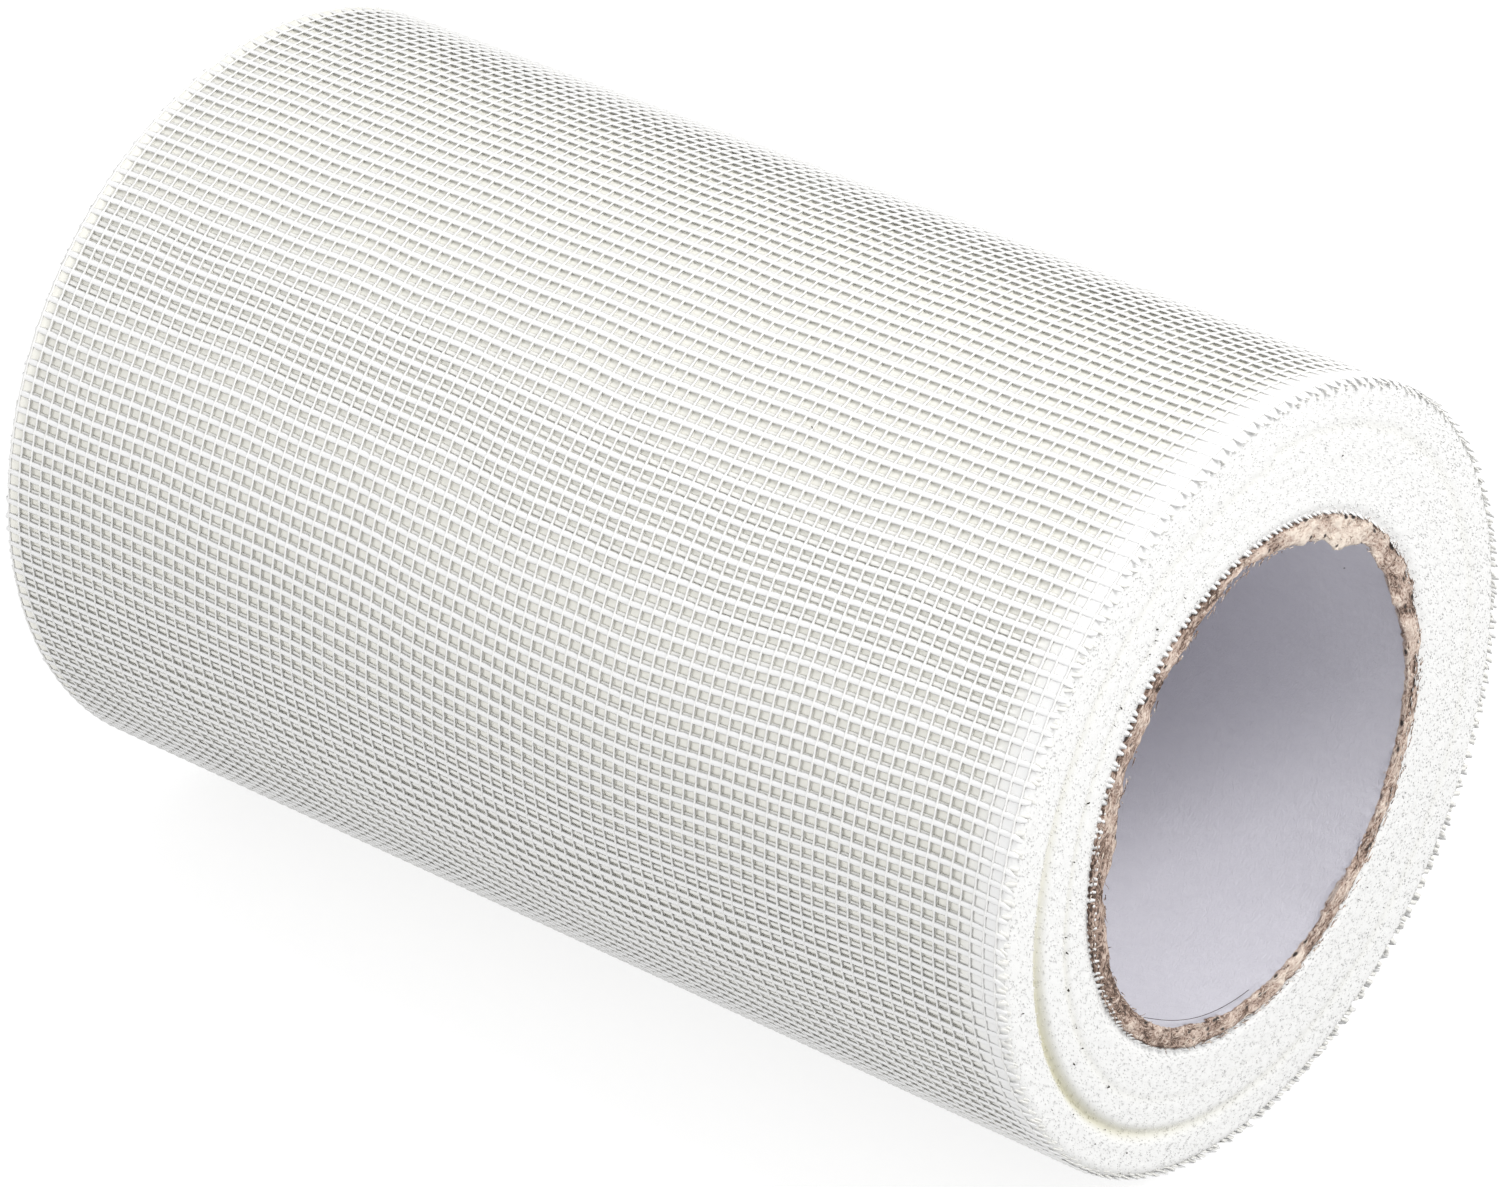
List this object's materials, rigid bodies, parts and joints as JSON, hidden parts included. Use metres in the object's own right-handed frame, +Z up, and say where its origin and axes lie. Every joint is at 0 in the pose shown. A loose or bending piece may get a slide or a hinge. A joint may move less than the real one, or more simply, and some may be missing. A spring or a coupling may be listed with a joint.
{
  "type": "roll of fibreglass mesh",
  "caption": "Roll of white open-weave fibreglass mesh wound on a paper core, for reinforcing plaster, boards, mouldings and insulation.",
  "frame": {"origin": "on the ground, under the middle of the roll as it lies on its side", "axes": "+X along the roll's axis, +Z up, so the bore runs along X"},
  "size_m": [0.196, 0.125, 0.125],
  "materials": {
    "mesh": "matte white coated glass yarn",
    "core": "raw grey-brown wound paper"
  },
  "bodies": {
    "root": {"mesh_web": "mesh", "paper_core": "core"}
  },
  "joints": []
}
